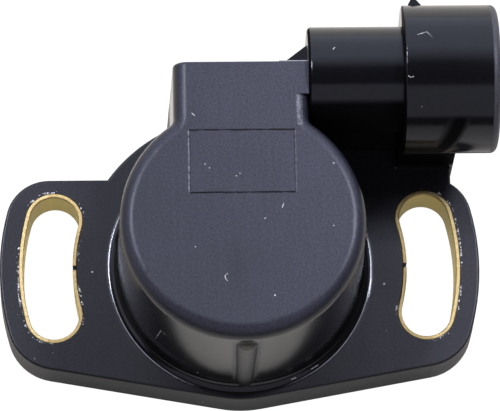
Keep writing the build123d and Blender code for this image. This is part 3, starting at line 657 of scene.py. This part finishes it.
def dress_nodes():
    """Every solid gets its finish."""
    for make, names in (
        (rolled_brass, ("slot_liner_left", "slot_liner_right")),
        (tinned_brass, ("terminal_supply", "terminal_signal", "terminal_ground")),
        (printed_carbon, ("resistive_track", "collector_track")),
        (spring_steel, ("thrust_washer", "return_spring", "drive_clip")),
        (nitrile_rubber, ("shaft_seal", "flange_seal")),
        (moulded_nylon, ("housing",)),
        (paper_laminate, ("resistor_board",)),
        (printed_silver, ("conductor_traces",)),
        (soft_solder, ("solder_joints",)),
        (matt_polyester, ("rear_cover",)),
        (moulded_acetal, ("rotor",)),
        (sintered_bronze, ("rotor_bush",)),
        (phosphor_bronze, ("wiper",)),
    ):
        material = make()
        for name in names:
            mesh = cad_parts[name].data
            mesh.materials.clear()
            mesh.materials.append(material)


def twisting_spring():
    """A copy of the return spring's solid, which sits between the housing and the rotor; the part's own
    solid is hidden.
    """
    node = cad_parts["return_spring"]
    piece = bpy.data.objects.new("twisting_spring", node.data.copy())
    bpy.context.scene.collection.objects.link(piece)
    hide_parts("return_spring")
    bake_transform(piece)


def white_card():
    """Matt white card: white to the camera, grey in mirror images, and it keeps the part's shadow."""
    mirror_share, glow_share, glow_strength = 0.2, 0.9, 1.12
    material = bpy.data.materials.new("white_card")
    material.use_nodes = True
    tree = material.node_tree
    tree.nodes.clear()
    ray = add(tree, "LightPath").outputs
    mirrored = add(tree, "Math", ray["Is Glossy Ray"], ray["Is Transmission Ray"], operation="ADD")
    seen = add(tree, "Math", mirrored, mirror_share, ray["Is Camera Ray"], operation="MULTIPLY_ADD")
    share = add(tree, "Math", seen, glow_share, operation="MULTIPLY")
    card = add(tree, "BsdfDiffuse", linear("#D1CBC4"))
    glow = add(tree, "Emission", linear("#FFFFFF"), glow_strength)
    mixed = add(tree, "MixShader", share, card, glow)
    add(tree, "OutputMaterial", mixed)
    return material


def white_sheet():
    """White sheet under the part, a hair below the spigot."""
    # Metres, then millimetres
    half, back = 0.4, 0.1
    gap = 0.02
    sheet = bmesh.new()
    bmesh.ops.create_grid(sheet, x_segments=1, y_segments=1, size=half)
    bmesh.ops.translate(sheet, verts=sheet.verts, vec=(0, back, (SPIGOT_Z - gap) * MM))
    mesh = bpy.data.meshes.new("white_sheet")
    sheet.to_mesh(mesh)
    sheet.free()
    piece = bpy.data.objects.new("white_sheet", mesh)
    bpy.context.scene.collection.objects.link(piece)
    mesh.materials.append(white_card())


def softbox(name, tilt, turn, width, height, radiance, tint=(1.0, 1.0, 1.0)):
    """Area lamp facing the part, its width and height in metres.

    Its tilt from straight above and its turn about the shaft axis are in degrees.
    """
    lamp = bpy.data.lights.new(name, "AREA")
    lamp.shape = "RECTANGLE"
    lamp.size = width
    lamp.size_y = height
    lamp.energy = radiance * math.pi * width * height
    lamp.color = tint
    holder = bpy.data.objects.new(name, lamp)
    around = Matrix.Rotation(math.radians(turn), 4, "Z") @ Matrix.Rotation(math.radians(tilt), 4, "X")
    holder.matrix_world = around @ Matrix.Translation((0, 0, LAMP_AWAY))
    bpy.context.scene.collection.objects.link(holder)


def dim_room():
    """World: white to the camera, and a dim grey room to the part."""
    dim = 0.1
    world = bpy.data.worlds.new("studio")
    bpy.context.scene.world = world
    world.use_nodes = True
    tree = world.node_tree
    tree.nodes.clear()
    ray = add(tree, "LightPath").outputs
    level = add(tree, "MapRange", ray["Is Camera Ray"], 0.0, 1.0, dim, 1.0)
    sky = add(tree, "Background", linear("#FFFFFF"), level)
    add(tree, "OutputWorld", sky)


def lights():
    """Soft boxes behind, in front and on the left, and two small lamps. Nothing shines from the camera."""
    bright, fade = 1.5, 0.37
    first_tilt, step_tilt = -34.0, 6.0
    softbox("back_box", tilt=-62.0, turn=0.0, width=1.5, height=0.72, radiance=bright, tint=COOL)
    # The back box fades out towards the zenith
    for step in range(1, 4):
        tilt = first_tilt + step_tilt * step
        faded = bright - fade * step
        softbox(f"back_fringe_{step}", tilt, turn=0.0, width=1.5, height=0.063, radiance=faded, tint=COOL)
    softbox("front_box", tilt=51.0, turn=0.0, width=0.9, height=0.58, radiance=0.53)
    softbox("left_box", tilt=-68.0, turn=90.0, width=0.6, height=0.36, radiance=0.9)
    softbox("left_lamp", tilt=-29.0, turn=54.0, width=0.14, height=0.06, radiance=80.0)
    softbox("right_lamp", tilt=-31.0, turn=-57.0, width=0.12, height=0.06, radiance=80.0)


def camera():
    """Camera of the photograph, solved from the part's outline and its features."""
    # Degrees, then the camera's place along its own axes, in millimetres
    tilt, yaw, roll = -17.168, 1.473, 0.501
    eye = (1.387, 9.231, 505.281)
    lens = bpy.data.cameras.new("camera")
    lens.sensor_width = 36.0
    lens.lens = 288.0
    lens.clip_start = 0.01
    lens.clip_end = 10.0
    holder = bpy.data.objects.new("camera", lens)
    tilted = Matrix.Rotation(math.radians(tilt), 4, "X")
    yawed = Matrix.Rotation(math.radians(yaw), 4, "Y")
    rolled = Matrix.Rotation(math.radians(roll), 4, "Z")
    facing = (rolled @ yawed @ tilted).transposed()
    holder.matrix_world = Matrix.Translation(facing @ (Vector(eye) * MM)) @ facing
    bpy.context.scene.collection.objects.link(holder)
    bpy.context.scene.camera = holder


dress_nodes()
twisting_spring()
white_sheet()
dim_room()
lights()
camera()
bpy.context.scene.view_settings.view_transform = "Standard"
